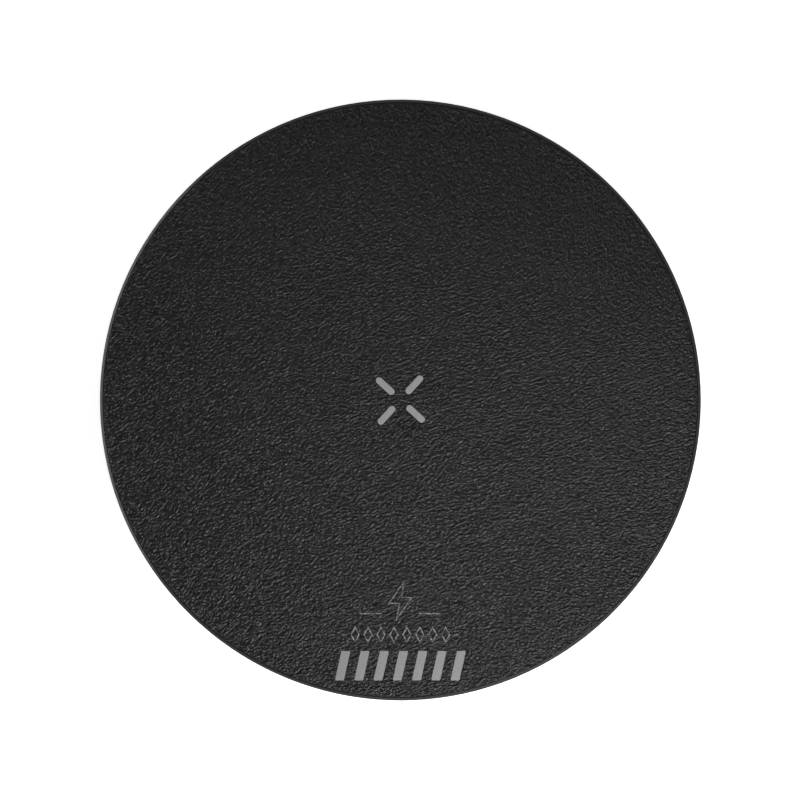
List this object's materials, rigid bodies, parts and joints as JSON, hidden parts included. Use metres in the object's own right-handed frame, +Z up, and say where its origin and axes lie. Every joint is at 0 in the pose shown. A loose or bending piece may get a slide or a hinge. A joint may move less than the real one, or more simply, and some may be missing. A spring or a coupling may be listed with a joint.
{
  "type": "wireless charging pad",
  "caption": "Flat round charging pad with an inlaid grained leather top, a slim moulded side wall, a USB-C socket at the back and a soft foot ring underneath.",
  "frame": {"origin": "centre of the plane it rests on, at the bottom of the foot ring", "axes": "+Z up out of the leather, -Y towards the print at the front, +Y out of the USB-C socket at the back"},
  "size_m": [0.1, 0.1, 0.008],
  "materials": {
    "leather": "fine-grained black leather, satin",
    "foil": "light grey hot-stamped foil, satin",
    "housing_plastic": "black moulded plastic, fine spark-eroded texture, satin rim",
    "foot_rubber": "black silicone, matt",
    "adhesive": "thin double-sided tape, milky",
    "screw_steel": "zinc-plated, satin",
    "coil_copper": "enamelled stranded copper wire, satin",
    "polyimide_tape": "amber film, glossy",
    "ferrite": "sintered dark grey, matt",
    "foam": "closed-cell foam, matt",
    "board_green": "green solder mask, semi-gloss",
    "thermal_silicone": "blue-grey gap filler, matt",
    "chip_black": "moulded epoxy, matt",
    "capacitor_ceramic": "tan ceramic, satin",
    "inductor_core": "pressed iron powder, matt",
    "oscillator_can": "nickel-plated lid, satin",
    "solder": "tin solder, satin",
    "port_steel": "nickel-plated steel, satin",
    "port_plastic": "black moulded plastic, satin",
    "contact_gold": "gold-plated, glossy",
    "sensor_epoxy": "black epoxy bead, glossy",
    "led_package": "white package, satin",
    "guide_clear": "clear polycarbonate, frosted face"
  },
  "bodies": {
    "root": {"leather_top": "leather", "alignment_mark": "foil", "foil_ornament": "foil", "leather_adhesive": "adhesive", "top_housing": "housing_plastic", "bottom_cover": "housing_plastic", "foot_ring": "foot_rubber", "foot_ring_adhesive": "adhesive", "case_screws": "screw_steel", "board_screws": "screw_steel", "coil_winding": "coil_copper", "coil_lead_inner": "coil_copper", "coil_lead_outer": "coil_copper", "coil_tape": "polyimide_tape", "coil_adhesive": "adhesive", "ferrite_plate": "ferrite", "foam_pad": "foam", "thermistor": "sensor_epoxy", "thermistor_leads": "coil_copper", "circuit_board": "board_green", "thermal_pad": "thermal_silicone", "controller_chip": "chip_black", "bridge_transistors": "chip_black", "fast_charge_chip": "chip_black", "resonant_capacitors": "capacitor_ceramic", "input_capacitors": "capacitor_ceramic", "power_inductor": "inductor_core", "sense_resistor": "chip_black", "small_resistors": "chip_black", "small_capacitors": "capacitor_ceramic", "oscillator": "oscillator_can", "lead_solder": "solder", "usb_c_shell": "port_steel", "usb_c_insulator": "port_plastic", "usb_c_contacts": "contact_gold", "status_led": "led_package", "light_guide": "guide_clear"}
  },
  "joints": []
}
